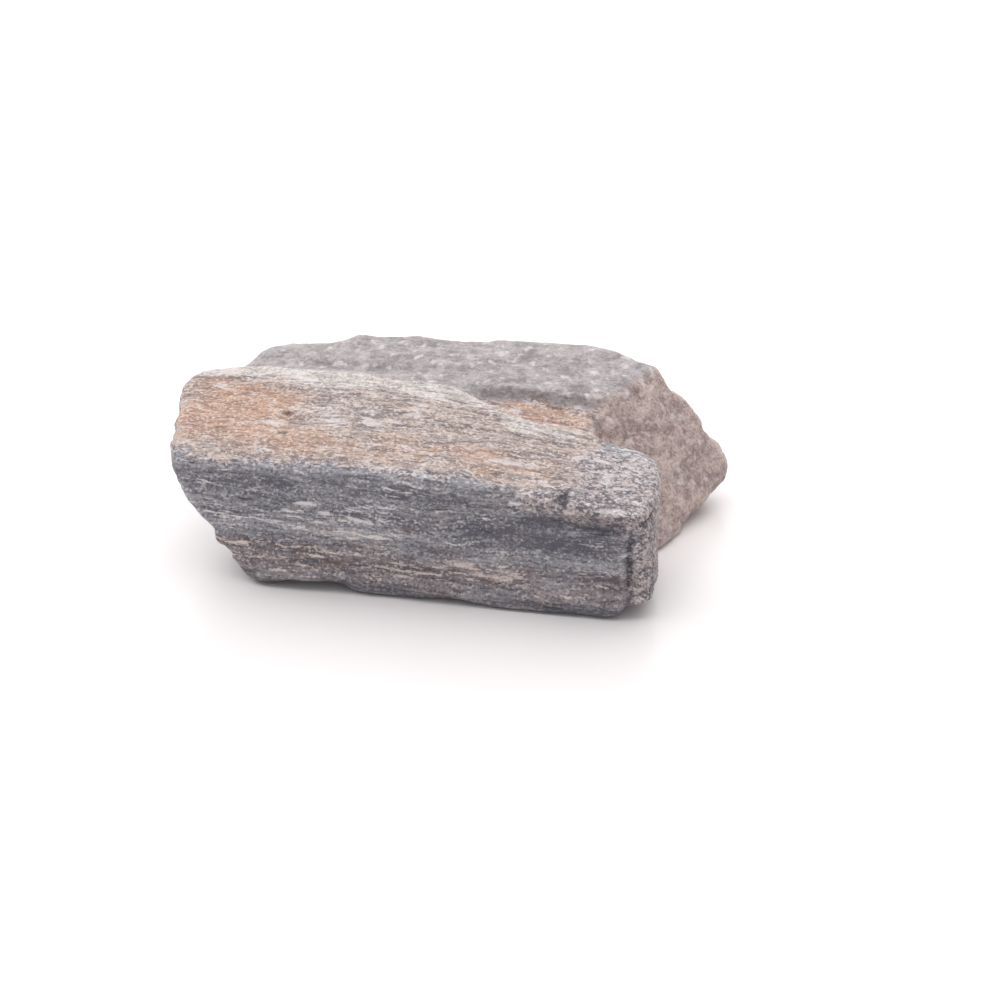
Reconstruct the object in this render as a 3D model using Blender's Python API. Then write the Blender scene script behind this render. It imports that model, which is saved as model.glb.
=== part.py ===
"""A rough piece of martite: one hand-size block of foliated iron ore, broken from the rock.

The rock splits along a flat-lying foliation and is streaked along X. It is roughed out as a mason
would do it: blocks of stone given by their corners are joined, and wedges are chipped out of them.
The joined stone is then worn round along its edges, and the ledges, splinters and lumps of its
broken faces are raised on it.

Frame: +X along the streaks, the broken right end and its tip at +X, +Y away from the straight
striated front face, +Z up from the flat spot that the stone rests on. Lengths are in millimetres
until the finished stone is scaled to metres.
"""

import bmesh
import bpy
import math
from mathutils import Matrix, Vector, noise

MM = 0.001

# Driving sizes of the specimen
LEFT_X = -29.7
FRONT_Y = -17.2
BACK_Y = 17.8
RIDGE_Z = 13.8
TOP_Z = 15.6
UNDERSIDE_Z = 0.45
REST_Z = -0.4

# How finely the stone is worked, how far its edges are worn, and how many faces it keeps
WORKING_VOXEL = 0.42
WEAR_PASSES = 4
FINISHED_TRIANGLES = 9300

# Share of a splinter's size over which it slopes to the next one
SPLINTER_EDGE = 0.3

# Front block: the straight striated face, the pale bench above it, and the nose at its right end
FRONT_BLOCK = {
    "ridge, left end": (-25.3, FRONT_Y, RIDGE_Z),
    "ridge, left quarter": (-12.0, FRONT_Y - 0.1, RIDGE_Z - 0.3),
    "ridge, middle": (4.0, FRONT_Y - 0.1, RIDGE_Z + 0.1),
    "ridge, right quarter": (13.5, FRONT_Y, RIDGE_Z - 1.1),
    "ridge, right end": (23.2, FRONT_Y, RIDGE_Z - 2.1),
    "bench, left rim front": (-26.7, -13.5, 14.0),
    "bench, left rim middle": (-27.8, -7.7, 14.5),
    "bench, left corner": (LEFT_X, -1.0, 14.7),
    "bench, left rear": (-28.4, 3.0, 14.9),
    "crest, left end": (-25.3, 4.6, 15.2),
    "crest, left quarter": (-14.4, 4.6, 15.5),
    "crest, middle": (-1.8, 3.7, 15.3),
    "crest, right end": (4.6, 1.6, 14.9),
    "recess": (15.4, 3.4, 13.1),
    "nose, rear": (21.8, -3.0, 12.6),
    "nose, side": (24.0, -6.2, 12.4),
    "nose, tip": (24.4, -11.0, 12.1),
    "left edge, high": (-25.4, FRONT_Y, 11.7),
    "left edge, middle": (-24.0, FRONT_Y, 8.4),
    "left edge, low": (-20.1, FRONT_Y, 4.5),
    "left edge, foot": (-18.7, FRONT_Y, 1.6),
    "left foot": (-16.6, FRONT_Y + 0.2, 0.3),
    "left flank, high": (-28.6, -1.0, 11.0),
    "left flank, foot": (-21.5, -2.0, 1.0),
    "right edge, high": (23.6, FRONT_Y + 0.1, 10.0),
    "right edge, low": (23.8, FRONT_Y + 0.1, 1.5),
    "right end, high": (24.6, -12.5, 10.5),
    "right end, low": (24.6, -12.0, 1.4),
    "foot, left of the middle": (-4.0, FRONT_Y + 0.2, 0.1),
    "foot, right": (14.0, FRONT_Y + 0.2, 0.1),
    "notch foot": (22.6, -4.0, 0.4),
    "underside, rear left": (-16.0, 4.0, UNDERSIDE_Z),
    "underside, rear right": (20.0, 2.0, UNDERSIDE_Z),
}

# Notch between the nose and the broken right end, deep at the top and running out at the foot
NOTCH = {
    "recess": (14.6, 3.0, 17.0),
    "recess, low": (14.9, 2.9, 11.0),
    "neck": (16.6, -1.6, 17.0),
    "neck, low": (16.9, -1.4, 11.0),
    "behind the nose": (19.4, -2.9, 17.0),
    "behind the nose, low": (19.6, -2.8, 10.0),
    "nose, rear": (22.4, -3.6, 17.0),
    "nose, rear low": (22.7, -3.6, 6.0),
    "foot": (23.4, -3.6, -1.0),
    "open side, front": (28.0, -4.6, 17.0),
    "open side, front foot": (28.0, -4.6, -1.0),
    "open side, back": (28.0, 6.0, 17.0),
    "open side, back foot": (28.0, 4.0, -1.0),
    "back": (15.0, 6.0, 17.0),
}

# Rear block: the higher, granular back of the stone, and the slanting broken end with its tip
REAR_BLOCK = {
    "brow, left": (-24.8, 4.6, 14.9),
    "brow, middle": (4.0, 3.9, 15.0),
    "brow, right": (10.3, 4.2, 14.9),
    "brow, corner": (15.2, 4.6, 14.7),
    "shoulder, front": (17.6, 8.5, 15.1),
    "shoulder, back": (20.5, 13.3, 15.4),
    "skyline, right": (15.8, 15.9, TOP_Z),
    "skyline, far corner": (13.0, BACK_Y, TOP_Z - 0.1),
    "skyline, middle": (2.0, 16.9, TOP_Z),
    "skyline, peak": (-11.5, 15.6, TOP_Z + 0.3),
    "skyline, left": (-19.6, 10.8, TOP_Z - 0.1),
    "skyline, left corner": (-23.6, 8.6, TOP_Z - 0.4),
    "end, upper edge": (21.9, 14.5, 11.8),
    "end, middle edge": (25.3, 14.6, 8.0),
    "end, lower edge": (27.8, 14.4, 5.2),
    "tip": (28.6, 14.4, 3.6),
    "tip, underside": (27.6, 14.2, 1.9),
    "end, foot": (25.0, 11.6, 0.7),
    "end, foot middle": (24.7, 5.0, 0.2),
    "end, foot front": (23.4, -1.0, 0.2),
    "end, inner foot": (19.0, -6.0, 0.3),
    "back, right": (23.5, 17.0, 6.0),
    "back, right foot": (20.0, 15.4, 0.8),
    "back, belly": (3.0, BACK_Y, 8.0),
    "back, middle foot": (2.0, 14.6, 0.5),
    "back, left belly": (-15.0, 15.0, 8.5),
    "back, left foot": (-14.0, 11.5, 1.0),
    "left end, belly": (-25.6, 5.0, 9.0),
    "left end, foot": (-20.0, 4.0, 1.2),
    "underside, front": (12.0, -6.0, UNDERSIDE_Z),
}

# Plate that caps the right third of the front block and stands out over the front face
CAP_PLATE = {
    "front, left": (13.5, FRONT_Y, 12.7),
    "front, middle": (17.0, FRONT_Y - 0.6, 12.0),
    "front, right": (23.4, FRONT_Y - 0.6, 11.8),
    "corner": (24.2, -16.2, 11.7),
    "front, left underside": (13.5, FRONT_Y, 11.9),
    "front, middle underside": (17.0, FRONT_Y - 0.5, 11.4),
    "front, right underside": (23.3, FRONT_Y - 0.5, 11.1),
    "corner, underside": (24.2, -16.0, 11.1),
    "back, left": (13.0, -12.0, 13.1),
    "back, right": (23.7, -11.0, 12.1),
    "back, left underside": (13.0, -12.0, 11.0),
    "back, right underside": (24.3, -11.0, 11.0),
}

# Thin slab left standing out along the foot of the front face
TOE_SLAB = {
    "left": (0.0, FRONT_Y + 0.1, 0.1),
    "left, upper": (0.0, FRONT_Y + 0.1, 1.0),
    "front": (15.0, FRONT_Y - 0.5, 0.1),
    "front, upper": (14.0, FRONT_Y - 0.4, 1.4),
    "right": (21.4, FRONT_Y - 0.5, 0.1),
    "right, upper": (21.8, FRONT_Y - 0.4, 1.4),
    "right end": (22.2, FRONT_Y + 0.2, 0.6),
    "back, left": (0.0, -13.0, 0.4),
    "back, right": (21.0, -13.5, 0.4),
    "back, left upper": (0.0, -13.0, 2.0),
    "back, right upper": (22.0, -13.5, 2.0),
}

# Crumbling upright lobe at the right end of the front face
END_LOBE = {
    "top": (23.6, -16.6, 10.6),
    "top, outer": (24.6, -15.8, 10.0),
    "front, middle": (23.9, FRONT_Y - 0.1, 6.0),
    "outer, middle": (24.8, -15.6, 6.4),
    "front, low": (24.1, FRONT_Y, 2.0),
    "outer, low": (25.1, -15.4, 1.8),
    "foot": (24.6, -16.0, 1.1),
    "inner, top": (22.6, -13.5, 10.4),
    "inner, foot": (22.6, -13.5, 1.4),
    "outer, rear": (24.7, -12.5, 6.0),
}

# Low swelling of the underside whose lowest part is ground flat against the floor
REST = {
    "left": (-10.5, -3.0, REST_Z),
    "front left": (-6.0, -9.0, REST_Z),
    "front right": (12.0, -10.5, REST_Z),
    "right": (16.0, -2.0, REST_Z),
    "back right": (11.0, 6.5, REST_Z),
    "back left": (-5.0, 5.5, REST_Z),
    "base, left": (-17.5, -4.0, 1.0),
    "base, front left": (-9.5, -15.5, 1.0),
    "base, front right": (17.0, -15.8, 1.0),
    "base, right": (22.0, -3.0, 1.0),
    "base, back right": (18.0, 12.5, 1.0),
    "base, back left": (-11.0, 11.5, 1.0),
}

# Wedges chipped out of the joined stone
CHIPS = {
    "parting under the cap plate": [
        (15.5, FRONT_Y - 2.0, 11.0), (25.5, FRONT_Y - 2.0, 11.0), (15.5, FRONT_Y - 2.0, 10.1),
        (25.5, FRONT_Y - 2.0, 9.6), (17.0, FRONT_Y + 0.3, 10.9), (25.5, FRONT_Y + 0.9, 10.9),
        (25.5, FRONT_Y + 0.9, 10.3),
    ],
    "arch under the front foot": [
        (-13.5, FRONT_Y - 1.0, -1.0), (-11.0, FRONT_Y - 1.0, 0.9), (-7.4, FRONT_Y - 1.0, 1.1),
        (-4.0, FRONT_Y - 1.0, -1.0), (-12.5, -14.5, -1.0), (-9.0, -14.5, 0.5), (-4.5, -14.5, -1.0),
    ],
    "lower left ledge": [
        (-26.0, FRONT_Y - 1.0, 4.3), (-19.6, FRONT_Y - 1.0, 4.4), (-26.0, FRONT_Y - 1.0, 2.6),
        (-19.0, FRONT_Y - 1.0, 2.8), (-26.0, -9.0, 4.1), (-20.8, -9.0, 4.1), (-26.0, -9.0, 2.0),
        (-20.0, -9.0, 2.4),
    ],
    "ledge at the foot of the brow": [
        (-2.0, 4.3, 17.0), (8.0, -1.4, 17.0), (14.5, -0.8, 17.0), (16.0, 2.0, 17.0), (16.0, 4.7, 17.0),
        (-1.0, 4.2, 15.0), (8.0, -1.2, 13.8), (14.5, -0.6, 13.2), (16.0, 2.0, 13.1), (16.0, 5.2, 13.5),
        (4.0, 4.9, 13.8),
    ],
}

# Lumps raised and hollows sunk on the worn stone: centre, radii, and how far the surface moves
SWELLS = {
    "trough behind the crest": ((-11.0, 7.0, 15.5), (15.0, 1.8, 3.0), -0.5),
    "skyline lump, left": ((-13.5, 14.5, 15.6), (2.6, 2.6, 3.0), 0.45),
    "skyline lump, middle": ((-7.0, 15.0, 15.6), (2.6, 2.6, 3.0), 0.25),
    "skyline lump, right": ((13.0, 15.0, 15.6), (3.0, 3.0, 3.0), 0.25),
    "nick in the left rim": ((-28.6, -7.0, 14.3), (1.4, 1.6, 1.6), -0.7),
    "hollow above the left foot": ((-22.0, -16.0, 5.3), (2.0, 5.0, 1.5), -0.9),
    "hollow in the bench": ((-16.0, -8.0, 14.0), (5.0, 3.0, 3.0), -0.3),
    "saddle before the nose": ((13.5, -4.0, 13.6), (5.0, 4.0, 3.0), -0.35),
    "nose swelling": ((21.0, -8.0, 12.6), (3.6, 4.0, 3.0), 0.4),
}


def rough_block(name, corners):
    """The convex block of stone that has these corners."""
    bm = bmesh.new()
    for point in corners:
        bm.verts.new(point)
    bmesh.ops.convex_hull(bm, input=bm.verts)
    bmesh.ops.delete(bm, geom=[v for v in bm.verts if not v.link_faces], context="VERTS")
    bmesh.ops.recalc_face_normals(bm, faces=bm.faces)
    mesh = bpy.data.meshes.new(name)
    bm.to_mesh(mesh)
    bm.free()
    block = bpy.data.objects.new(name, mesh)
    bpy.context.scene.collection.objects.link(block)
    return block


def bake(stone):
    """Turns the stone's modifiers into its own mesh."""
    graph = bpy.context.evaluated_depsgraph_get()
    baked = bpy.data.meshes.new_from_object(stone.evaluated_get(graph))
    stone.modifiers.clear()
    stone.data = baked


def combine(stone, name, corners, operation):
    """Joins a block to the stone, or chips it out of the stone."""
    block = rough_block(name, corners)
    block.hide_render = True
    block.display_type = "WIRE"
    step = stone.modifiers.new(name, "BOOLEAN")
    step.operation = operation
    step.solver = "EXACT"
    step.object = block
    bake(stone)
    bpy.data.objects.remove(block)


def remesh(stone):
    """Covers the stone with small even faces."""
    step = stone.modifiers.new("work finely", "REMESH")
    step.mode = "VOXEL"
    step.voxel_size = WORKING_VOXEL
    bake(stone)


def wear(stone, passes):
    """Rounds the edges of the stone."""
    step = stone.modifiers.new("wear the edges", "SMOOTH")
    step.factor = 0.5
    step.iterations = passes
    bake(stone)


def ramp(low, high, value):
    """0 below low, 1 above high, and a smooth rise between them."""
    share = min(1.0, max(0.0, (value - low) / (high - low)))
    return share * share * (3.0 - 2.0 * share)


def splinter(point, size, seed):
    """How far the splinter of rock at a point stands out, about -1 to 1. Size is its length, width
    and thickness. Each splinter has its own level and its own slight tilt, and meets the next one in
    a short slope."""
    place = Vector((point.x / size[0] + seed, point.y / size[1], point.z / size[2]))
    distances, centres = noise.voronoi(place)
    levels = []
    for centre in centres[:2]:
        lean = noise.cell_vector(centre * 17.0) - Vector((0.5, 0.5, 0.5))
        levels.append(0.7 * noise.cell(centre * 31.0) + 0.9 * lean.dot(place - centre))
    share = 0.5 * (1.0 - ramp(0.0, SPLINTER_EDGE, distances[1] - distances[0]))
    return levels[0] * (1.0 - share) + levels[1] * share


def raised(point, normal):
    """How far the broken surface stands out from the worn stone at a point, in millimetres."""
    top = ramp(0.55, 0.85, normal.z)
    under = ramp(0.3, 0.7, -normal.z)
    side = 1.0 - top - under
    right_end = ramp(0.25, 0.6, normal.x) * ramp(-6.0, -3.0, point.y)
    left_end = ramp(0.3, 0.6, -normal.x)
    back = ramp(0.3, 0.6, normal.y) * ramp(6.0, 10.0, point.y)
    front = side * (1.0 - max(right_end, left_end, back))
    rear_top = top * ramp(3.0, 5.5, point.y)

    bedding = Vector((point.x, point.y, point.z + 0.03 * point.x - 0.05 * point.y))
    bedding.z += 0.5 * noise.noise(point / 8.0)
    streaked = Vector((point.x / 3.5, point.y, point.z))
    height = 0.08 + 0.3 * noise.noise(point / 7.0)
    height += 0.22 * noise.noise(streaked / 1.7)
    height += 0.3 * front * splinter(bedding, (11.0, 5.0, 1.6), 0.0)
    height += 0.45 * left_end * splinter(bedding, (5.0, 6.0, 1.9), 3.0)
    height += 0.6 * back * side * splinter(bedding, (8.0, 5.0, 2.2), 6.0)
    height += 0.16 * (top - rear_top) * splinter(bedding, (11.0, 2.6, 6.0), 9.0)
    height += 0.2 * rear_top * splinter(bedding, (4.5, 2.6, 6.0), 21.0)
    height += 0.14 * rear_top * noise.noise(point / 1.3)
    height += 0.4 * right_end * side * splinter(point, (6.0, 6.0, 4.6), 12.0)
    height += 0.14 * right_end * side * noise.noise(point / 1.3)
    height += 0.3 * under * splinter(point, (7.0, 5.0, 3.0), 15.0)
    for centre, radii, rise in SWELLS.values():
        offset = point - Vector(centre)
        reach = math.sqrt(sum((offset[axis] / radii[axis]) ** 2 for axis in range(3)))
        height += rise * (1.0 - ramp(0.0, 1.0, reach))
    return height * ramp(-0.4, 0.2, point.z)


def break_surface(stone):
    """Raises the ledges, splinters and lumps on the worn stone."""
    mesh = stone.data
    moved = [v.co + v.normal * raised(v.co, v.normal) for v in mesh.vertices]
    for vertex, place in zip(mesh.vertices, moved):
        vertex.co = place
    mesh.update()


def flatten_sole(stone):
    """Brings everything below the floor up to it, which leaves one flat spot to rest on."""
    for vertex in stone.data.vertices:
        vertex.co.z = max(0.0, vertex.co.z)
    stone.data.update()


def reduce_faces(stone):
    """Keeps the faces that the form needs, and makes the flat spot one face."""
    triangles = sum(len(face.vertices) - 2 for face in stone.data.polygons)
    step = stone.modifiers.new("reduce", "DECIMATE")
    step.ratio = FINISHED_TRIANGLES / triangles
    step.use_collapse_triangulate = True
    bake(stone)
    bm = bmesh.new()
    bm.from_mesh(stone.data)
    for vertex in bm.verts:
        if vertex.co.z < 0.05:
            vertex.co.z = 0.0
    bmesh.ops.dissolve_degenerate(bm, dist=0.02, edges=bm.edges)
    sole = [f for f in bm.faces if all(v.co.z == 0.0 for v in f.verts)]
    bmesh.ops.dissolve_faces(bm, faces=sole, use_verts=True)
    bmesh.ops.recalc_face_normals(bm, faces=bm.faces)
    bm.to_mesh(stone.data)
    bm.free()


def scale_to_metres(stone):
    """Puts the origin at the bottom centre of the stone's bounding box, and scales it to metres."""
    xs = [v.co.x for v in stone.data.vertices]
    ys = [v.co.y for v in stone.data.vertices]
    middle = Vector(((min(xs) + max(xs)) / 2.0, (min(ys) + max(ys)) / 2.0, 0.0))
    stone.data.transform(Matrix.Scale(MM, 4) @ Matrix.Translation(-middle))
    stone.data.update()


def martite():
    """Dark, dull, faintly metallic grey of the iron ore."""
    material = bpy.data.materials.new("martite_stone")
    material.use_nodes = True
    shader = material.node_tree.nodes["Principled BSDF"]
    shader.inputs["Base Color"].default_value = (0.21, 0.19, 0.19, 1.0)
    shader.inputs["Roughness"].default_value = 0.72
    shader.inputs["Metallic"].default_value = 0.0
    return material


def main():
    for obj in list(bpy.data.objects):
        bpy.data.objects.remove(obj)
    stone = rough_block("martite_stone", FRONT_BLOCK.values())
    combine(stone, "notch", NOTCH.values(), "DIFFERENCE")
    combine(stone, "rear_block", REAR_BLOCK.values(), "UNION")
    combine(stone, "cap_plate", CAP_PLATE.values(), "UNION")
    combine(stone, "toe_slab", TOE_SLAB.values(), "UNION")
    combine(stone, "end_lobe", END_LOBE.values(), "UNION")
    combine(stone, "rest", REST.values(), "UNION")
    remesh(stone)
    wear(stone, WEAR_PASSES)
    for name, corners in CHIPS.items():
        combine(stone, name, corners, "DIFFERENCE")
    remesh(stone)
    break_surface(stone)
    wear(stone, 1)
    flatten_sole(stone)
    reduce_faces(stone)
    scale_to_metres(stone)
    stone.data.materials.clear()
    stone.data.materials.append(martite())


main()
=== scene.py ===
"""The looks of a rough piece of martite: a foliated, streaky block of iron ore, broken from the rock.

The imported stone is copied, covered with fine faces and given the splinters, grains and lumps of its
broken surfaces. Its minerals are marked on the mesh as zones, and one procedural material colours
them. Lengths are metres unless a name ends in mm; the zones are worked out in millimetres.
"""

import math
from functools import partial, reduce

import bpy
import numpy as np
from mathutils import Matrix, Vector, noise


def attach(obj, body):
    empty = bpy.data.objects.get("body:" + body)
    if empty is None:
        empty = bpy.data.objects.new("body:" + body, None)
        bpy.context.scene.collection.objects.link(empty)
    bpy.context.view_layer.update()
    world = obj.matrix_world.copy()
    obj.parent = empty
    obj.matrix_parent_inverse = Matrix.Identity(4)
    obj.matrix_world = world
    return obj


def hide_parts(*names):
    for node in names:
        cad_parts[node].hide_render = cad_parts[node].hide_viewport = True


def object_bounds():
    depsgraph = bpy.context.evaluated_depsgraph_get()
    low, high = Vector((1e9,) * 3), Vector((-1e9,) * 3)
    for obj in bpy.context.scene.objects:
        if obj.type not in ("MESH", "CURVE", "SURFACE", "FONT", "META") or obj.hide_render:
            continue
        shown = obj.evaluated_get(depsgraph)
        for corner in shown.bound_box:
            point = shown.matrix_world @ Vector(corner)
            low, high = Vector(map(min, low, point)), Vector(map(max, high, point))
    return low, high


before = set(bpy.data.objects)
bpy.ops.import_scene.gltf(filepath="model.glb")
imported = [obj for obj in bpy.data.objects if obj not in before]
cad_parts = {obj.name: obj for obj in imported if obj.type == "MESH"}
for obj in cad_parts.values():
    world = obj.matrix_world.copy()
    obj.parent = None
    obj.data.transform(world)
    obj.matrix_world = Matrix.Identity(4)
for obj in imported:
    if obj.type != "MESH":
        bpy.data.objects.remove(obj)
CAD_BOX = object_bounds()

bl_info = {
    "name": "Rough martite",
    "version": (1, 0, 0),
    "blender": (4, 5, 0),
    "location": "3D View > Sidebar > Martite",
    "description": "Dresses a rough piece of martite and sets it on a pale floor",
    "category": "Object",
}

NODE = "martite_stone"
MM = 0.001

# The foliation lies almost flat: how much it climbs along X and Y, and how high and how wide its
# waves are, in mm
FOLIATION = (0.03, -0.05, 0.0)
WAVE_MM = 1.6
WAVE_CELL_MM = 7.0

# Which of the endless patterns of splinters and grains the relief is cut from
SEED = 3.0

# Lines on the stone, as X and the height or depth there, in mm: the ridge between front and top, the
# foot of the rear and the near edge of the pale crest. The front itself lies at one depth
RIDGE_MM = ((-29.0, 13.9), (-12.0, 13.5), (4.0, 13.9), (11.0, 13.4), (14.5, 12.5), (24.0, 11.9))
BROW_MM = ((-30.0, 5.0), (-14.0, 4.9), (-3.0, 4.2), (4.0, 3.7), (10.0, 4.0), (15.5, 4.5), (30.0, 4.5))
CREST_MM = ((-30.0, 2.9), (-5.0, 2.2), (3.4, 1.0), (6.5, -1.6), (9.5, -3.2), (15.8, -1.8), (20.0, -4.0))
FRONT_Y_MM = -17.4

# How wide the granular rim is, and how far it hangs down over the front
RIM_WIDTH_MM = ((10.0, 1.9), (15.0, 3.4))
RIM_DROP_MM = ((-26.0, -0.9), (-16.0, -0.45), (9.0, -0.3), (14.0, 1.6))

# Where the broken right end begins, along X and along Y
END_X_MM = (14.8, 17.0)
END_Y_MM = (-4.6, -3.2)

# The shoulder at the left of the rear top: its middle, its reach and how far it swells
SHOULDER_MM = (-20.5, 9.2, 15.2)
SHOULDER_REACH_MM = (6.0, 5.0, 4.0)
SHOULDER_SWELL_MM = 0.6

# How far the front edge of the sole is lifted off the floor, as X and the lift there, in mm
GAP_MM = (
    (-20.0, 0.0), (-16.0, 0.1), (-13.5, 0.55), (-9.0, 0.6), (-6.0, 0.12), (-1.0, 0.25), (6.0, 0.25),
    (9.0, 0.1),
)

# How far the foot of the front is moved forwards
FOOT_MM = 0.45

# Which of the endless patterns the edges of the zones wander along. It isn't 0, which means the clock
WANDER_SEED = 5

# Patches of limonite stain: centre, radii and strength, in mm
STAINS_MM = {
    "bench, left": ((-21.5, -6.0, 14.5), (9.0, 9.5, 4.0), 1.0),
    "bench, left front": ((-15.0, -12.0, 14.5), (9.0, 4.0, 4.0), 0.75),
    "bench, middle": ((-3.0, -12.0, 14.5), (10.0, 3.6, 4.0), 0.5),
    "bench, right": ((9.0, -12.0, 14.0), (8.0, 3.0, 4.0), 0.6),
    "ledge": ((9.8, 1.0, 13.6), (8.0, 3.6, 3.0), 0.85),
    "front, low": ((-7.0, -17.5, 3.0), (3.0, 2.0, 1.0), 0.5),
    "right end, foot of the notch": ((20.0, 0.0, 9.0), (4.0, 4.0, 5.0), 0.3),
}

# Pits, cracks and partings: centre, radii, depth and darkness, in mm. The darkness is painted shade in the
# hollow
HOLLOWS_MM = {
    "pit in the bench": ((-15.6, -6.1, 14.8), (0.9, 0.6, 1.5), 0.25, 0.55),
    "pit in the bench, front": ((-14.4, -10.7, 14.6), (0.6, 0.4, 1.5), 0.2, 0.45),
    "crack across the cap": ((16.3, -16.9, 12.7), (0.6, 1.6, 1.1), 0.4, 0.9),
    "recess under the cap": ((18.4, -17.8, 10.2), (6.6, 2.0, 1.2), 0.4, 0.35),
    "notch over the end lobe": ((24.9, -16.6, 10.6), (1.1, 3.0, 0.55), 0.5, 0.5),
    "cleft beside the end lobe": ((23.3, -17.6, 6.2), (0.5, 2.0, 5.2), 0.45, 0.45),
}

# Lenses of quartz that stand out: centre, radii and strength, in mm
LENSES_MM = {
    "lip of the cap": ((18.0, -17.7, 11.75), (6.6, 2.0, 0.4), 1.0),
    "lip of the cap, left": ((10.6, -17.5, 11.9), (2.6, 2.0, 0.35), 0.8),
    "front, upper left": ((-12.0, -17.4, 11.2), (1.3, 1.5, 0.35), 0.9),
    "front, upper left, below": ((-10.8, -17.4, 9.8), (1.5, 1.5, 0.4), 0.9),
    "front, under these": ((-8.6, -17.4, 8.8), (1.1, 1.5, 0.3), 0.8),
    "front, left": ((-18.6, -17.4, 7.4), (1.2, 1.5, 0.3), 0.7),
    "front, middle": ((-3.0, -17.4, 6.6), (1.8, 1.5, 0.3), 0.8),
    "front, low middle": ((6.2, -17.4, 4.6), (1.4, 1.5, 0.35), 0.9),
    "front, right": ((9.6, -17.4, 8.2), (1.8, 1.5, 0.35), 0.7),
    "front, right, above": ((10.2, -17.4, 9.2), (1.2, 1.5, 0.25), 0.6),
}

# Bands that are darker than the rest of the front, of dark slate, and under the cap a painted shadow of its
# overhang: centre, radii and strength, in mm
SLATE_AND_SHADE_MM = {
    # Painted shadow of the overhanging cap
    "under the cap": ((17.5, -17.6, 10.3), (7.5, 2.0, 1.0), 1.0),
    "under the cap, below": ((15.0, -17.6, 8.2), (11.0, 2.0, 2.6), 0.75),
    "middle": ((4.0, -17.5, 6.4), (8.0, 2.0, 1.2), 0.5),
    "under the rim": ((-16.0, -17.5, 12.4), (11.0, 2.0, 0.9), 0.4),
    "under the rim, middle": ((3.0, -17.5, 12.0), (9.0, 2.0, 1.4), 0.5),
    "left": ((-20.0, -17.5, 7.6), (4.0, 2.0, 1.0), 0.35),
}

# The zones that the colours read
ZONES = (
    "bench", "rear", "end", "granular", "crest", "nose", "upper_front", "low_front", "stain", "dark",
    "lens", "cap", "frost", "slate", "fine", "broad",
)

# Patterns in the rock: whether each follows the foliation (bed) or not (spot), the length, width and
# thickness of its blotches in mm, how many finer sizes it holds and how strong those are. Streak,
# wisp, line and band are streaks of four widths. Dash and group place the quartz, crevice the dark
# partings, and edge frays the zones. The rest are blotches, from single grains to wide clouds
PATTERNS_MM = {
    "streak": ("bed", (4.5, 1.2, 0.34), 3.0, 0.6),
    "wisp": ("bed", (1.5, 0.6, 0.26), 3.0, 0.65),
    "line": ("bed", (4.5, 0.42, 1.0), 3.0, 0.6),
    "dash": ("bed", (3.0, 1.2, 0.42), 2.0, 0.6),
    "group": ("bed", (9.0, 5.0, 1.6), 2.0, 0.5),
    "crevice": ("bed", (5.0, 1.6, 0.4), 2.0, 0.55),
    "band": ("bed", (18.0, 7.0, 1.9), 2.0, 0.5),
    "edge": ("bed", (1.0, 0.8, 0.5), 4.0, 0.75),
    "pepper": ("spot", (0.3, 0.3, 0.24), 2.0, 0.7),
    "clump": ("spot", (0.9, 0.9, 0.75), 2.0, 0.6),
    "mottle": ("spot", (1.3, 1.6, 1.1), 3.0, 0.6),
    "cloud": ("spot", (3.4, 4.0, 3.0), 3.0, 0.6),
    "fleck": ("spot", (1.0, 1.2, 0.9), 1.0, 0.4),
    "patchy": ("spot", (3.6, 2.4, 2.4), 3.0, 0.6),
}

# Single mineral grains, in mm. Some of the real ones are finer, and are drawn at the size that shows
SALT_MM = (0.27, 0.25, 0.22)

# Each kind of rock, by how much each pattern counts in it: the streaky slate of the front, the
# granular rim, the weathered bench and the coarse rear and end. The last is quartz that lies in slate
SLATY = {"streak": 1.7, "wisp": 1.5, "band": 1.3, "pepper": 2.1, "salt": 0.4}
SUGARY = {"clump": 2.2, "wisp": 1.2, "pepper": 1.9, "salt": 0.9, "line": 0.8}
SANDED = {"line": 2.3, "streak": 0.9, "wisp": 0.6, "clump": 0.8, "pepper": 1.3, "salt": 0.9, "cloud": 1.1}
COARSE = {"mottle": 1.8, "cloud": 1.5, "line": 0.9, "wisp": 0.7, "pepper": 1.4, "salt": 0.5}
QUARTZ = {"dash": 1.0, "group": 0.55, "pepper": 0.35}

# How much of what lies under them is covered by quartz, by bright grains and by the flecks of the rear
QUARTZ_COVER = 0.95
SPARKLE_COVER = 0.4
FLECK_COVER = 0.5

# The finest roughness, drawn as bump: how high it is, in mm, and how strongly it shows
BUMP_MM = 0.25
BUMP_STRENGTH = 0.8

# Where the soft box stands, seen from the stone, and the point that the camera looks at, in mm
LAMP_FROM = (-0.17, 0.19, 0.47)
AIM_MM = (6.199, -0.206, 4.0)

# Short names for the nodes that are used most, with their settings
NODE_KINDS = {
    "mix colours": ("ShaderNodeMix", {"data_type": "RGBA"}),
    "mix levels": ("ShaderNodeMix", {"data_type": "FLOAT"}),
    "rise": ("ShaderNodeMapRange", {"interpolation_type": "SMOOTHSTEP"}),
    "add": ("ShaderNodeMath", {"operation": "ADD"}),
    "subtract": ("ShaderNodeMath", {"operation": "SUBTRACT"}),
    "multiply": ("ShaderNodeMath", {"operation": "MULTIPLY"}),
    "multiply add": ("ShaderNodeMath", {"operation": "MULTIPLY_ADD"}),
    "higher": ("ShaderNodeMath", {"operation": "MAXIMUM"}),
    "shift": ("ShaderNodeVectorMath", {"operation": "ADD"}),
    "scale": ("ShaderNodeVectorMath", {"operation": "SCALE"}),
    "divide": ("ShaderNodeVectorMath", {"operation": "DIVIDE"}),
    "dot": ("ShaderNodeVectorMath", {"operation": "DOT_PRODUCT"}),
    "join": ("ShaderNodeCombineXYZ", {}),
}


def ramp(low, high, value):
    """0 below low, 1 above high, and a smooth rise between them."""
    share = np.clip((value - low) / (high - low), 0.0, 1.0)
    return share * share * (3.0 - 2.0 * share)


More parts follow.
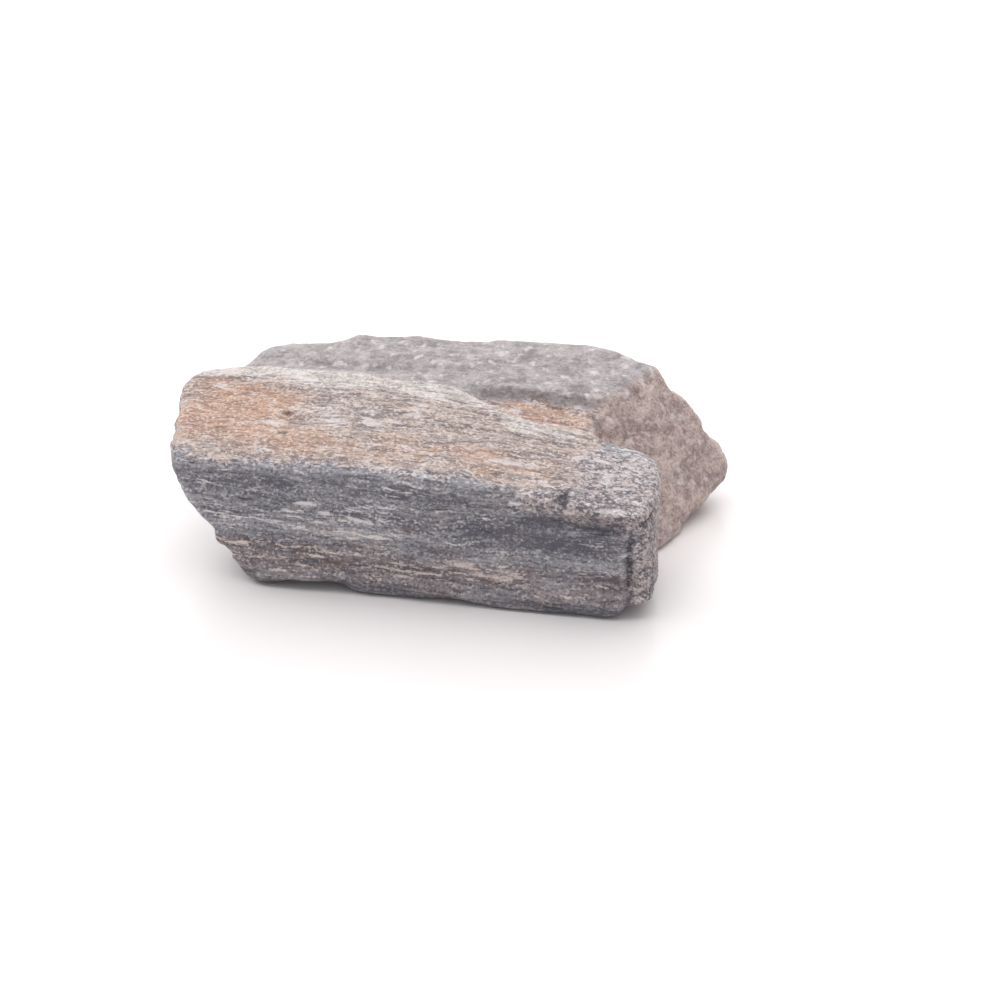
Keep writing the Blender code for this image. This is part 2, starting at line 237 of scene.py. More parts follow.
def along(line, x):
    """The height or depth that a line on the stone has at each X."""
    return np.interp(x, *np.array(line).T)


def patches(points, table, which=0):
    """How strongly the patches of a table cover each point, fading out at their edges. A table may
    give more than one strength after the radii, and which says the one to take."""
    cover = np.zeros(len(points))
    for centre, radii, *strengths in table.values():
        reach = np.linalg.norm((points - np.array(centre)) / np.array(radii), axis=1)
        cover = np.maximum(cover, strengths[which] * (1.0 - ramp(0.4, 1.15, reach)))
    return cover


def wandered(points, reach, cell):
    """Points in mm shifted by noise: up to reach, over distances of about cell."""
    shift = [noise.noise_vector(Vector(point)) for point in points / np.array(cell)]
    return points + np.array(shift) * np.array(reach)


def linear(hex_colour):
    """The linear RGB of an sRGB colour written as #rrggbb."""
    parts = [int(hex_colour[i:i + 2], 16) / 255.0 for i in (1, 3, 5)]
    return [p / 12.92 if p <= 0.04045 else ((p + 0.055) / 1.055) ** 2.4 for p in parts]


def colour(name, description, hex_colour):
    """A colour that a user may change."""
    return bpy.props.FloatVectorProperty(
        name=name, description=description, default=linear(hex_colour), subtype="COLOR", min=0.0, max=1.0
    )


def size(name, description, millimetres):
    """A length that a user may change."""
    return bpy.props.FloatProperty(
        name=name, description=description, default=millimetres * MM, subtype="DISTANCE",
        unit="LENGTH", min=0.0, precision=5,
    )


class StoneSizes(bpy.types.PropertyGroup):
    """Sizes of what the broken stone shows."""

    face: size("Face", "Height of the fine faces that carry the relief", 0.2)
    splinter_length: size("Splinter length", "Length of a splinter along the streaks", 3.6)
    splinter_width: size("Splinter width", "Width of a splinter across the streaks", 1.5)
    splinter_thickness: size("Splinter thickness", "Thickness of a splinter", 0.6)
    splinter_relief: size("Splinter relief", "How far one splinter stands over the next", 0.17)
    hackle: size("Hackle", "Width of the small steps of the broken end", 1.3)
    hackle_relief: size("Hackle relief", "How far the steps of the broken end stand out", 0.22)
    lump: size("Lump", "Width of the lumps on the rear", 1.5)
    lump_relief: size("Lump relief", "How far the lumps of the rear stand out", 0.22)
    grain: size("Grain", "Width of one mineral grain", 0.28)
    grain_relief: size("Grain relief", "How far one grain stands out", 0.07)


# The sizes that the relief's node tree takes, in order: all but that of the faces
RELIEF_SIZES = tuple(name for name in StoneSizes.__annotations__ if name != "face")


class StoneColours(bpy.types.PropertyGroup):
    """Colours of the minerals, each as it is in even white light, and black for the painted shade in cracks
    and pits.
    """

    slate_dark: colour("Slate, dark", "Ore-rich matrix of the front", "#5f5e67")
    slate_pale: colour("Slate, pale", "Quartz-rich streaks of the front", "#b0adb2")
    mauve_dark: colour("Mauve, dark", "Matrix of the lower front", "#5c585f")
    mauve_pale: colour("Mauve, pale", "Quartz-rich streaks of the lower front", "#a99d9f")
    bench_dark: colour("Bench, dark", "Grey streaks of the bench", "#766b6c")
    bench_pale: colour("Bench, pale", "Pale streaks of the bench", "#cbb9b0")
    rear_dark: colour("Rear, dark", "Matrix of the rear", "#878183")
    rear_pale: colour("Rear, pale", "Flecks of the rear", "#c0b7b8")
    end_dark: colour("End, dark", "Matrix of the broken end", "#948080")
    end_pale: colour("End, pale", "Grains of the broken end", "#d8c5be")
    rim_dark: colour("Rim, dark", "Ore grains of the granular rim", "#615e65")
    rim_pale: colour("Rim, pale", "Quartz and feldspar grains of the rim", "#cdbfbd")
    crest_dark: colour("Crest, dark", "Grey streaks of the crest", "#a09896")
    crest_pale: colour("Crest, pale", "Cream streaks of the crest", "#e0d7d1")
    ochre_dark: colour("Ochre, dark", "Limonite stain", "#8e7061")
    ochre_pale: colour("Ochre, pale", "Limonite stain on quartz", "#d2af9b")
    nose_dark: colour("Nose, dark", "Slate streaks of the rounded right end of the rim", "#6d6d74")
    nose_pale: colour("Nose, pale", "Quartz streaks of the rounded right end of the rim", "#bdb7b8")
    dash_cool: colour("Dash, cool", "Thin quartz streaks of the upper front", "#e0dadb")
    dash_warm: colour("Dash, warm", "Thin quartz streaks of the lower front", "#ddcec8")
    white: colour("White", "Single quartz grains", "#eae5e2")
    # Painted shade in cracks, pits, partings and hollows
    black: colour("Black", "Cracks and pits", "#38353a")


class StageSettings(bpy.types.PropertyGroup):
    """The floor, the lamps and the camera."""

    floor: colour("Floor", "Colour of the floor", "#f4f0f0")
    floor_width: size("Floor width", "Width of the floor", 6000.0)
    lamp: bpy.props.FloatProperty(
        name="Lamp", description="Strength of the light from the large soft box overhead", default=2.5,
        min=0.0,
    )
    lamp_spread: bpy.props.FloatProperty(
        name="Lamp spread", description="Angle that the soft box fills, seen from the stone",
        default=math.radians(100.0), subtype="ANGLE", unit="ROTATION",
    )
    sky: bpy.props.FloatProperty(
        name="Sky", description="Strength of the even light from all round", default=0.6, min=0.0
    )
    azimuth: bpy.props.FloatProperty(
        name="Azimuth", description="Angle of the camera round the stone", default=math.radians(12.0),
        subtype="ANGLE", unit="ROTATION",
    )
    elevation: bpy.props.FloatProperty(
        name="Elevation", description="Angle of the camera above the floor", default=math.radians(25.0),
        subtype="ANGLE", unit="ROTATION",
    )
    distance: size("Distance", "Distance from the camera to the stone", 300.0)
    lens: bpy.props.FloatProperty(
        name="Lens", description="Focal length of the camera", default=100.0, min=10.0,
        subtype="DISTANCE_CAMERA", unit="CAMERA",
    )


def add(tree, kind, *inputs, **settings):
    """Adds a node with its settings. Its inputs come in the order of its sockets, or in one dict by
    name or number, and each is a value, a socket or another node."""
    kind, usual = NODE_KINDS.get(kind, (kind, {}))
    node = tree.nodes.new(kind)
    for name, value in {**usual, **settings}.items():
        setattr(node, name, value)
    if inputs and isinstance(inputs[0], dict):
        pairs = [(node.inputs[name], value) for name, value in inputs[0].items()]
    else:
        pairs = zip([socket for socket in node.inputs if socket.enabled], inputs)
    for socket, value in pairs:
        if isinstance(value, bpy.types.Node):
            value = next(output for output in value.outputs if output.enabled)
        if isinstance(value, bpy.types.NodeSocket):
            tree.links.new(value, socket)
        else:
            socket.default_value = value
    return node


def bake(piece):
    """Turns the piece's modifiers into its own mesh."""
    graph = bpy.context.evaluated_depsgraph_get()
    baked = bpy.data.meshes.new_from_object(piece.evaluated_get(graph))
    piece.modifiers.clear()
    piece.data = baked


def positions(mesh):
    """The mesh's points as an array of metres."""
    flat = np.empty(len(mesh.vertices) * 3, np.float32)
    mesh.vertices.foreach_get("co", flat)
    return flat.reshape(-1, 3).astype(float)


def place(mesh, points):
    """Moves the mesh's points."""
    mesh.vertices.foreach_set("co", points.astype(np.float32).ravel())
    mesh.update()


def normals(mesh):
    """The direction that the mesh faces at each point."""
    flat = np.empty(len(mesh.vertices) * 3, np.float32)
    mesh.vertex_normals.foreach_get("vector", flat)
    return flat.reshape(-1, 3).astype(float)


class Spread:
    """Evens values out over a mesh, each point taking on its neighbours' mean."""

    def __init__(self, mesh):
        edges = np.empty(len(mesh.edges) * 2, np.int32)
        mesh.edges.foreach_get("vertices", edges)
        edges = edges.reshape(-1, 2)
        self.start = np.concatenate((edges[:, 0], edges[:, 1]))
        self.end = np.concatenate((edges[:, 1], edges[:, 0]))
        self.count = len(mesh.vertices)
        self.degree = np.maximum(np.bincount(self.start, minlength=self.count), 1)

    def mean(self, values):
        """The mean of each point's neighbours."""
        columns = [
            np.bincount(self.start, weights=column[self.end], minlength=self.count) / self.degree
            for column in values.T
        ]
        return np.stack(columns, axis=1)

    def even(self, values, passes, share=0.5):
        """The values after that many passes."""
        for _ in range(passes):
            values = values + share * (self.mean(values) - values)
        return values


def store(mesh, name, values):
    """Keeps one number for each point of the mesh."""
    attribute = mesh.attributes.get(name) or mesh.attributes.new(name, "FLOAT", "POINT")
    attribute.data.foreach_set("value", np.asarray(values, np.float32))


# The fine faces are that many times as long along the streaks as across them
FACE_STRETCH = 2.0

# How often each point is evened out with its neighbours: the facets of the solid, the way that the
#  stone faces, the edge of the broken end, and what cracks and edges are measured against for the painted
#  shade in cracks and painted highlight on edges
FACET_PASSES = 20
FACING_PASSES = 14
END_PASSES = 24
SHADE_RELIEF_PASSES = {"fine": 3, "broad": 40}


def copy_of_stone(sizes):
    """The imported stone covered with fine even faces, its facets evened out and its foot shaped."""
    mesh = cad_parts[NODE].data.copy()
    piece = bpy.data.objects.new("rough_martite", mesh)
    bpy.context.scene.collection.objects.link(piece)
    weld = piece.modifiers.new("merge", "WELD")
    weld.merge_threshold = 1e-6
    bake(piece)
    piece.data.transform(Matrix.Diagonal((1.0 / FACE_STRETCH, 1.0, 1.0, 1.0)))
    step = piece.modifiers.new("fine faces", "REMESH")
    step.mode = "VOXEL"
    step.voxel_size = sizes.face
    bake(piece)
    piece.data.transform(Matrix.Diagonal((FACE_STRETCH, 1.0, 1.0, 1.0)))

    # Evening out rounds the stone off, so a part of what it took away is given back
    spread = Spread(piece.data)
    faceted = positions(piece.data)
    points = spread.even(faceted, FACET_PASSES)
    points += spread.even(faceted - points, FACET_PASSES)
    points[:, 2] = np.maximum(points[:, 2], 0.0)

    away = (points / MM - np.array(SHOULDER_MM)) / np.array(SHOULDER_REACH_MM)
    swell = ramp(1.0, 0.0, np.linalg.norm(away, axis=1))
    points[:, 2] += SHOULDER_SWELL_MM * MM * swell

    # The front edge of the sole is lifted off the floor, and the foot of the front moved forwards
    x, y, z = points.T / MM
    edge = ramp(-15.0, -15.9, y) * ramp(1.6, 0.3, z)
    foot = ramp(-14.5, -16.5, y) * ramp(3.2, 1.2, z) * ramp(-19.0, -15.0, x)
    points[:, 2] += along(GAP_MM, x) * MM * edge
    points[:, 1] -= FOOT_MM * MM * foot
    place(piece.data, points)
    return piece


def mark_zones(mesh):
    """Marks which rock shows where: each zone is a number from 0 to 1 at each point."""
    noise.seed_set(WANDER_SEED)
    spread = Spread(mesh)
    points = positions(mesh) / MM
    facing = spread.even(normals(mesh), FACING_PASSES)
    facing /= np.linalg.norm(facing, axis=1, keepdims=True)
    x, y, z = points.T
    nx, ny, nz = facing.T

    # The sides of the stone, by where a point lies and which way it faces
    up = ramp(0.45, 0.8, nz)
    under = ramp(0.2, 0.6, -nz)
    left_end = ramp(0.35, 0.7, -nx)
    back = ramp(0.4, 0.75, ny)
    end = ramp(*END_X_MM, x) * ramp(*END_Y_MM, y) * (1.0 - ramp(0.72, 0.92, nz))
    front = ramp(0.4, 0.7, -ny) * (1.0 - end)

    # Points that wander about, widely and then closely, so that no zone ends in a smooth line
    ragged = wandered(points, (2.4, 1.4, 0.7), (6.0, 3.5, 3.0))
    ragged = wandered(ragged, (0.9, 0.6, 0.4), (1.5, 1.1, 0.9))
    hollows = wandered(points, (0.5, 0.4, 0.25), (2.6, 2.0, 1.6))
    x, y, z = ragged.T
    behind_brow = y - along(BROW_MM, x)
    behind_crest = y - along(CREST_MM, x)
    below_ridge = along(RIDGE_MM, x) - z

    # The rear, with the scarp in front of it, but not its back side
    rear = ramp(-0.6, 0.4, behind_brow) * ramp(-0.5, 0.3, ny + nz)
    scarp = ramp(2.0, 4.0, x) * ramp(2.4, 3.4, y) * ramp(0.85, 0.6, nz) * (1.0 - end) * ramp(0.0, 0.3, nz)
    rear = np.maximum(rear, scarp) * ramp(0.75, 0.4, ny)

    # The top in front of the rear, and the rounded right end of the rim
    nose = ramp(14.5, 18.5, x) * ramp(3.0, 1.0, below_ridge) * ramp(-4.5, -7.0, y)
    nose_back = up * ramp(16.5, 19.5, x) * ramp(-8.0, -5.5, y) * (1.0 - end)
    bench = up * (1.0 - rear) * (1.0 - end) * (1.0 - 0.6 * nose_back)
    crest = up * ramp(-2.6, -1.0, behind_crest) * (1.0 - rear) * (1.0 - ramp(12.0, 17.0, x))
    crest *= np.where(x < 2.0, 1.0, ramp(2.6, 1.0, behind_crest))

    # The rim, which runs along the ridge with a jagged lower edge
    jagged = np.array([noise.noise(Vector(point)) for point in points / np.array((1.4, 2.0, 1.1))])
    across_rim = y - FRONT_Y_MM - below_ridge + 1.1 * jagged
    drop = along(RIM_DROP_MM, x)
    top_side = ramp(-drop - 0.15, -drop + 0.15, across_rim)
    bench *= top_side
    rim = top_side * (1.0 - ramp(0.3, 1.2, across_rim / along(RIM_WIDTH_MM, x)))
    rim *= (1.0 - ramp(-2.0, 2.0, behind_brow)) * (1.0 - end)
    lobe = ramp(23.4, 24.2, x) * ramp(-9.0, -12.0, y) * ramp(11.0, 10.0, z)
    granular = np.clip(rim + 0.95 * nose + 0.85 * lobe, 0.0, 1.0)

    zones = {
        "bench": bench,
        "rear": rear,
        "end": spread.even(np.clip(end + 0.35 * left_end, 0.0, 1.0)[:, None], END_PASSES)[:, 0],
        "granular": granular,
        "crest": crest,
        "nose": nose_back,
        "upper_front": front * ramp(5.0, 3.0, below_ridge) * (1.0 - granular),
        "low_front": (front + under + back) * ramp(8.5, 3.5, z) * ramp(0.4, 1.6, z),
        "stain": patches(ragged, STAINS_MM),
        "depth": patches(hollows, HOLLOWS_MM, 0),
        # Painted shade in the hollows of the table
        "dark": patches(hollows, HOLLOWS_MM, 1),
        "lens": patches(hollows, LENSES_MM),
        "cap": ramp(10.0, 14.0, x) * ramp(-13.0, -15.5, y) * granular,
        "frost": rim * ramp(13.0, 8.0, x),
        # The slate bands, the painted shadow under the cap, and the lowest 2 mm, which is partly dark slate
        # and partly painted shade at the foot
        "slate": np.maximum(patches(ragged, SLATE_AND_SHADE_MM), ramp(2.2, 0.8, z)) * (1.0 - granular),
        "loose": ramp(0.05, 0.6, points[:, 2]),
    }
    for name, values in zones.items():
        store(mesh, name, values)


def relief_tree(material):
    """The node tree that breaks a worn surface into splinters, steps, lumps and grains."""
    tree = bpy.data.node_groups.new("broken surface", "GeometryNodeTree")
    tree.is_modifier = True
    face = tree.interface
    face.new_socket("Geometry", in_out="INPUT", socket_type="NodeSocketGeometry")
    for name in RELIEF_SIZES:
        label = name.replace("_", " ").capitalize()
        face.new_socket(label, in_out="INPUT", socket_type="NodeSocketFloat").subtype = "DISTANCE"
    face.new_socket("Seed", in_out="INPUT", socket_type="NodeSocketFloat")
    face.new_socket("Geometry", in_out="OUTPUT", socket_type="NodeSocketGeometry")
    node = partial(add, tree)
    given = node("NodeGroupInput").outputs
    spot = node("GeometryNodeInputPosition")
    zone = {
        name: node("GeometryNodeInputNamedAttribute", {"Name": name}, data_type="FLOAT")
        for name in ("granular", "end", "rear", "depth", "loose")
    }

    def sized(vector, length, width, thickness):
        """The vector counted in cells of that size."""
        return node("divide", vector, node("join", length, width, thickness))

    def uneven(vector, detail, roughness):
        """Soft noise, about -0.5 to 0.5."""
        inputs = {
            "Vector": vector, "W": given["Seed"], "Scale": 1.0, "Detail": detail, "Roughness": roughness,
        }
        texture = node("ShaderNodeTexNoise", inputs, noise_dimensions="4D")
        return node("subtract", texture.outputs["Fac"], 0.5)

    def stepped(vector, smoothness):
        """Cells that each have a level of their own, from -0.5 to 0.5."""
        inputs = {
            "Vector": vector, "W": given["Seed"], "Scale": 1.0, "Smoothness": smoothness, "Randomness": 1.0,
        }
        cells = node("ShaderNodeTexVoronoi", inputs, voronoi_dimensions="4D", feature="SMOOTH_F1")
        level = node("FunctionNodeSeparateColor", {"Color": cells.outputs["Color"]})
        return node("subtract", level.outputs["Red"], 0.5)

    # The foliation: nearly flat, slightly tilted and gently wavy
    broad = node("scale", {0: spot, "Scale": 1.0 / (WAVE_CELL_MM * MM)})
    close = node("scale", {0: spot, "Scale": 1.0 / (1.8 * MM)})
    climb = node("dot", spot, FOLIATION).outputs["Value"]
    wave = node("multiply", uneven(broad, 1.0, 0.5), WAVE_MM * MM)
    ripple = node("multiply", uneven(close, 1.0, 0.5), 0.35 * MM)
    shift = node("add", node("add", climb, wave), ripple)
    bed = node("shift", spot, node("join", ripple, ripple, shift))

    # Splinters, large and small
    cell = [given[f"Splinter {word}"] for word in ("length", "width", "thickness")]
    large = stepped(sized(bed, *cell), 0.25)
    small = stepped(sized(bed, *[node("multiply", extent, 0.42) for extent in cell]), 0.3)
    splinters = node("multiply add", small, 0.45, large)
    splinters = node("multiply", splinters, given["Splinter relief"])

    # Steps of the broken end, lumps of the rear, and grains
    hackle = given["Hackle"]
    steps = stepped(sized(spot, hackle, hackle, hackle), 0.3)
    steps = node("multiply", steps, given["Hackle relief"])
    lump = given["Lump"]
    lumps = uneven(sized(spot, lump, lump, lump), 3.0, 0.6)
    lumps = node("multiply", node("multiply", lumps, 2.2), given["Lump relief"])
    grain = given["Grain"]
    grains = uneven(sized(bed, node("multiply", grain, 1.6), grain, grain), 1.0, 0.5)
    grains = node("multiply", node("multiply", grains, 2.0), given["Grain relief"])

    # How high each stands in each zone, less the hollows, and nothing where the stone rests
    rough = zone["granular"]
    end = zone["end"]
    rear = zone["rear"]
    foliated = node("subtract", 1.0, node("higher", rough, end))
    foliated = node("multiply", foliated, node("subtract", 1.0, node("multiply", rear, 0.6)))
    height = node("multiply", splinters, foliated)
    height = node("multiply add", steps, node("higher", end, node("multiply", rough, 0.6)), height)
    height = node("multiply add", lumps, node("higher", rear, end), height)
    height = node("multiply add", grains, node("multiply add", rough, 1.2, 0.5), height)
    height = node("multiply add", zone["depth"], -MM, height)
    height = node("multiply", height, zone["loose"])

    offset = node("scale", {0: node("GeometryNodeInputNormal"), "Scale": height})
    moved = node("GeometryNodeSetPosition", {"Geometry": given["Geometry"], "Offset": offset})
    real = node("GeometryNodeRealizeInstances", {"Geometry": moved})
    painted = node("GeometryNodeSetMaterial", {"Geometry": real, "Material": material})
    node("NodeGroupOutput", {"Geometry": painted})
    return tree


def break_surface(piece, sizes, material):
    """Raises the fine relief on the piece."""
    tree = relief_tree(material)
    step = piece.modifiers.new("broken surface", "NODES")
    step.node_group = tree
    sockets = {
        item.name: item.identifier for item in tree.interface.items_tree
        if item.item_type == "SOCKET" and item.in_out == "INPUT"
    }
    for name in RELIEF_SIZES:
        step[sockets[name.replace("_", " ").capitalize()]] = getattr(sizes, name)
    step[sockets["Seed"]] = SEED
    bake(piece)


def settle(mesh):
    """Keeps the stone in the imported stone's box, and its sole flat on the floor."""
    lowest, highest = (np.array(corner) for corner in CAD_BOX)
    place(mesh, np.clip(positions(mesh), lowest, highest))


def mark_relief_for_shade(mesh):
    """Marks how far each point stands out of what is round it: below 0 in cracks, above 0 on edges, where
    the material paints shade and highlight.
    """
    spread = Spread(mesh)
    points = positions(mesh)
    facing = normals(mesh)
    for name, passes in SHADE_RELIEF_PASSES.items():
        out = ((points - spread.even(points, passes)) * facing).sum(axis=1)
        store(mesh, name, out / MM)


def martite(colours):
    """Martite in a foliated quartz rock, broken and dusty: a dull, stony surface whose ore-rich
    streaks are dark slate and whose quartz-rich streaks are pale, with limonite stain on the top."""
    material = bpy.data.materials.new("martite")
    material.use_nodes = True
    tree = material.node_tree
    shader = tree.nodes["Principled BSDF"]
    node = partial(add, tree)
    zone = {name: node("ShaderNodeAttribute", attribute_name=name).outputs["Fac"] for name in ZONES}

    def shade(name):
        """One of the stone's colours, as a socket takes it."""
        return (*getattr(colours, name), 1.0)

    def uneven(vector, cell, detail, roughness):
        """Noise whose blotches have that size in mm, about 0 to 1."""
        scaled = node("divide", vector, cell)
        inputs = {"Vector": scaled, "Scale": 1.0, "Detail": detail, "Roughness": roughness}
        return node("ShaderNodeTexNoise", inputs).outputs["Fac"]

    def grains(vector, cell):
        """Grains of that size in mm, each with a level of its own from 0 to 1."""
        scaled = node("divide", vector, cell)
        inputs = {"Vector": scaled, "Scale": 1.0}
        cells = node("ShaderNodeTexVoronoi", inputs, feature="F1")
        return node("ShaderNodeSeparateColor", {"Color": cells.outputs["Color"]}).outputs["Red"]

    def swing(value, amount):
        """A 0 to 1 value turned about its middle and scaled."""
        return node("multiply", node("subtract", value, 0.5), amount)

    # The foliation: nearly flat, slightly tilted and gently wavy
    object_place = node("ShaderNodeTexCoord").outputs["Object"]
    spot = node("scale", {0: object_place, "Scale": 1.0 / MM})
    climb = node("dot", spot, FOLIATION).outputs["Value"]
    wave = swing(uneven(spot, (WAVE_CELL_MM, WAVE_CELL_MM, WAVE_CELL_MM), 1.0, 0.5), WAVE_MM)
    ripple = swing(uneven(spot, (1.8, 1.4, 1.0), 2.0, 0.5), 0.5)
    shift = node("add", node("add", climb, wave), ripple)
    bed = node("shift", spot, node("join", {"Y": ripple, "Z": shift}))

    bases = {"bed": bed, "spot": spot}
    pattern = {name: uneven(bases[base], *facts) for name, (base, *facts) in PATTERNS_MM.items()}
    pattern["salt"] = grains(spot, SALT_MM)
    edge = swing(pattern["edge"], 1.2)

    def share(name, unevenness, low, high):
        """How much of a zone shows, from 0 to 1, its edge made uneven."""
        return node("rise", node("add", zone[name], unevenness), low, high)

    def total(rock):
        """The sum of a rock's patterns, each as far as it counts."""
        return reduce(partial(node, "add"), [swing(pattern[name], amount) for name, amount in rock.items()])

    rear = share("rear", edge, 0.4, 0.6)
    granular = share("granular", edge, 0.4, 0.6)
    bench = share("bench", edge, 0.4, 0.6)
    nose = share("nose", edge, 0.4, 0.6)
    end = share("end", node("add", edge, swing(pattern["cloud"], 0.5)), 0.25, 0.8)
    crest = share("crest", swing(pattern["line"], 2.4), 0.35, 0.9)
    low = share("low_front", swing(pattern["group"], 2.4), 0.3, 1.0)
    stain = share("stain", swing(pattern["patchy"], 1.7), 0.0, 1.1)
    stain = node("multiply", stain, node("multiply add", rear, -0.7, 1.0))
    soft = node("higher", rear, end)

    # How pale each point is: the pattern of its rock, with painted highlight on edges and painted shade in
    # cracks
    # Darker in the slate zone: dark slate, with painted shadow under the cap and painted shade at the foot
    slaty = node("multiply add", zone["slate"], -0.42, total(SLATY))
    sugary = node("multiply add", zone["cap"], -0.2, total(SUGARY))
    sugary = node("multiply add", zone["frost"], -0.15, sugary)
    level = node("mix levels", bench, slaty, total(SANDED))
    level = node("mix levels", granular, level, sugary)
    level = node("mix levels", soft, level, total(COARSE))
    # Painted highlight on fine and broad edges, and painted shade in fine and broad hollows
    level = node("multiply add", zone["fine"], 3.0, level)
    level = node("multiply add", zone["broad"], 0.5, level)
    pale = node("rise", level, -0.75, 0.85)

    # The dark and the pale colour of each rock, then those of the stain over them
    dark_side = node("mix colours", low, shade("slate_dark"), shade("mauve_dark"))
    pale_side = node("mix colours", low, shade("slate_pale"), shade("mauve_pale"))
    rocks = {"bench": bench, "crest": crest, "nose": nose, "rear": rear, "end": end, "rim": granular}
    for name, cover in rocks.items():
        dark_side = node("mix colours", cover, dark_side, shade(f"{name}_dark"))
        pale_side = node("mix colours", cover, pale_side, shade(f"{name}_pale"))
    stained = node("multiply", stain, node("multiply add", granular, -0.6, 0.95))
    dark_side = node("mix colours", stained, dark_side, shade("ochre_dark"))
    pale_side = node("mix colours", stained, pale_side, shade("ochre_pale"))
    surface = node("mix colours", pale, dark_side, pale_side)

    # Single bright grains, away from the darkest slate
    sparkle = node("multiply", node("rise", pattern["salt"], 0.85, 0.93), node("subtract", 1.0, soft))
    sparkle = node("multiply", sparkle, node("multiply add", zone["slate"], -0.8, 1.0))
    surface = node("mix colours", node("multiply", sparkle, SPARKLE_COVER), surface, shade("dash_cool"))

    # Pale quartz: short dashes in loose groups, all over the front and thinner on the bench
    front = node("subtract", 1.0, node("higher", soft, node("higher", bench, granular)))
    quartz = node("multiply add", zone["slate"], -0.12, total(QUARTZ))
    quartz = node("multiply add", zone["upper_front"], -0.06, quartz)
    quartz = node("multiply add", zone["lens"], 0.22, quartz)
    quartz = node("rise", quartz, 0.06, 0.22)
    quartz = node("multiply", quartz, node("higher", front, node("multiply", bench, 0.6)))
    dashes = node("mix colours", low, shade("dash_cool"), shade("dash_warm"))
    surface = node("mix colours", node("multiply", quartz, QUARTZ_COVER), surface, dashes)

    # Pale flecks of the rear and the end
    flecks = node("multiply", node("rise", pattern["fleck"], 0.58, 0.76), soft)
    surface = node("mix colours", node("multiply", flecks, FLECK_COVER), surface, shade("white"))

    # Painted shade: in the partings along the foliation, where it is partly their dark ore, in small
    # hollows, and in the pits and cracks of the table
    partings = node("rise", pattern["crevice"], 0.36, 0.27)
    partings = node("multiply", partings, node("subtract", 1.0, node("higher", soft, granular)))
    partings = node("multiply", partings, node("multiply add", bench, -0.3, 0.6))
    hollows = node("rise", node("multiply", zone["fine"], -1.0), 0.03, 0.12)
    cracks = node("higher", partings, node("multiply", hollows, 0.5))
    cracks = node("higher", cracks, node("multiply", share("dark", edge, 0.1, 0.8), 0.7))
    surface = node("mix colours", cracks, surface, shade("black"))
    tree.links.new(surface.outputs[2], shader.inputs["Base Color"])

    dullness = node("add", swing(pattern["salt"], 0.25), 0.72)
    tree.links.new(dullness.outputs[0], shader.inputs["Roughness"])
    shader.inputs["Specular IOR Level"].default_value = 0.35
    height = node("add", node("multiply", pattern["pepper"], 0.6), node("multiply", pattern["wisp"], 0.6))
    height = node("multiply add", cracks, -0.5, height)
    bump = node("ShaderNodeBump", {"Strength": BUMP_STRENGTH, "Distance": BUMP_MM * MM, "Height": height})
    tree.links.new(bump.outputs["Normal"], shader.inputs["Normal"])
    return material


class MARTITE_OT_stone(bpy.types.Operator):
    """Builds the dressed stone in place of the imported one"""

    bl_idname = "martite.stone"
    bl_label = "Rough stone"
    bl_options = {"REGISTER", "UNDO"}

    def execute(self, context):
        sizes = context.scene.martite_sizes
        material = martite(context.scene.martite_colours)
        piece = copy_of_stone(sizes)
        mark_zones(piece.data)
        break_surface(piece, sizes, material)
        settle(piece.data)
        mark_relief_for_shade(piece.data)
        piece.data.shade_smooth()
        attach(piece, "root")
        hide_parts(NODE)
        return {"FINISHED"}


def paper(settings):
    """Smooth white card, slightly glossy: it shows a faint reflection at the foot of the stone."""
    material = bpy.data.materials.new("white_card")
    material.use_nodes = True
    shader = material.node_tree.nodes["Principled BSDF"]
    shader.inputs["Base Color"].default_value = (*settings.floor, 1.0)
    shader.inputs["Roughness"].default_value = 0.3
    return material


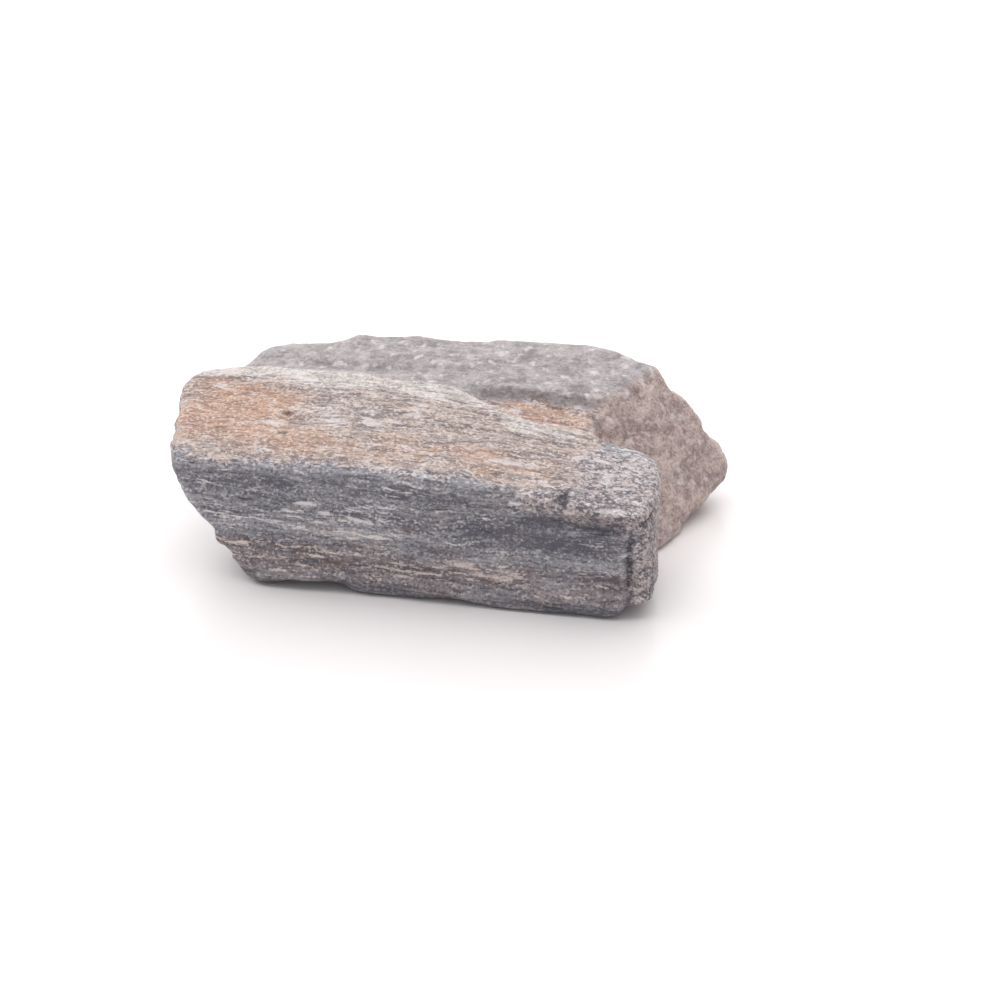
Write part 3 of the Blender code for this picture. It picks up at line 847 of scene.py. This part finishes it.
class MARTITE_OT_stage(bpy.types.Operator):
    """Sets up the floor, the lights and the camera"""

    bl_idname = "martite.stage"
    bl_label = "Floor, light and camera"
    bl_options = {"REGISTER", "UNDO"}

    def execute(self, context):
        settings = context.scene.martite_stage
        scene = context.scene
        half = settings.floor_width / 2.0
        corners = [(-half, -half, 0.0), (half, -half, 0.0), (half, half, 0.0), (-half, half, 0.0)]
        mesh = bpy.data.meshes.new("floor")
        mesh.from_pydata(corners, [], [(0, 1, 2, 3)])
        mesh.materials.append(paper(settings))
        floor = bpy.data.objects.new("floor", mesh)
        scene.collection.objects.link(floor)

        world = bpy.data.worlds.new("even light")
        scene.world = world
        world.use_nodes = True
        sky = world.node_tree.nodes["Background"]
        sky.inputs["Color"].default_value = (1.0, 1.0, 1.0, 1.0)
        sky.inputs["Strength"].default_value = settings.sky

        lamp = bpy.data.objects.new("soft box", bpy.data.lights.new("soft box", "SUN"))
        lamp.data.angle = settings.lamp_spread
        lamp.data.energy = settings.lamp
        lamp.location = LAMP_FROM
        lamp.rotation_mode = "QUATERNION"
        lamp.rotation_quaternion = lamp.location.to_track_quat("Z", "Y")
        scene.collection.objects.link(lamp)

        level = math.cos(settings.elevation)
        back = Vector((
            math.sin(settings.azimuth) * level,
            -math.cos(settings.azimuth) * level,
            math.sin(settings.elevation),
        ))
        camera = bpy.data.objects.new("camera", bpy.data.cameras.new("camera"))
        camera.data.lens = settings.lens
        camera.data.sensor_width = 36.0
        camera.data.clip_start = 0.01
        camera.location = Vector(AIM_MM) * MM + back * settings.distance
        camera.rotation_mode = "QUATERNION"
        camera.rotation_quaternion = (-back).to_track_quat("-Z", "Y")
        scene.collection.objects.link(camera)
        scene.camera = camera
        scene.view_settings.view_transform = "Standard"
        return {"FINISHED"}


class MARTITE_PT_sidebar(bpy.types.Panel):
    """Lists the pieces and their settings."""

    bl_idname = "MARTITE_PT_sidebar"
    bl_label = "Rough martite"
    bl_space_type = "VIEW_3D"
    bl_region_type = "UI"
    bl_category = "Martite"

    def draw(self, context):
        column = self.layout.column()
        for operator, group in (
            (MARTITE_OT_stone, context.scene.martite_sizes),
            (None, context.scene.martite_colours),
            (MARTITE_OT_stage, context.scene.martite_stage),
        ):
            if operator:
                column.operator(operator.bl_idname)
            for name in group.__annotations__:
                column.prop(group, name)


CLASSES = (StoneSizes, StoneColours, StageSettings, MARTITE_OT_stone, MARTITE_OT_stage, MARTITE_PT_sidebar)


def register():
    for entry in CLASSES:
        bpy.utils.register_class(entry)
    bpy.types.Scene.martite_sizes = bpy.props.PointerProperty(type=StoneSizes)
    bpy.types.Scene.martite_colours = bpy.props.PointerProperty(type=StoneColours)
    bpy.types.Scene.martite_stage = bpy.props.PointerProperty(type=StageSettings)


def unregister():
    del bpy.types.Scene.martite_stage
    del bpy.types.Scene.martite_colours
    del bpy.types.Scene.martite_sizes
    for entry in reversed(CLASSES):
        bpy.utils.unregister_class(entry)


def main():
    register()
    bpy.ops.martite.stone()
    bpy.ops.martite.stage()


if __name__ == "__main__":
    main()
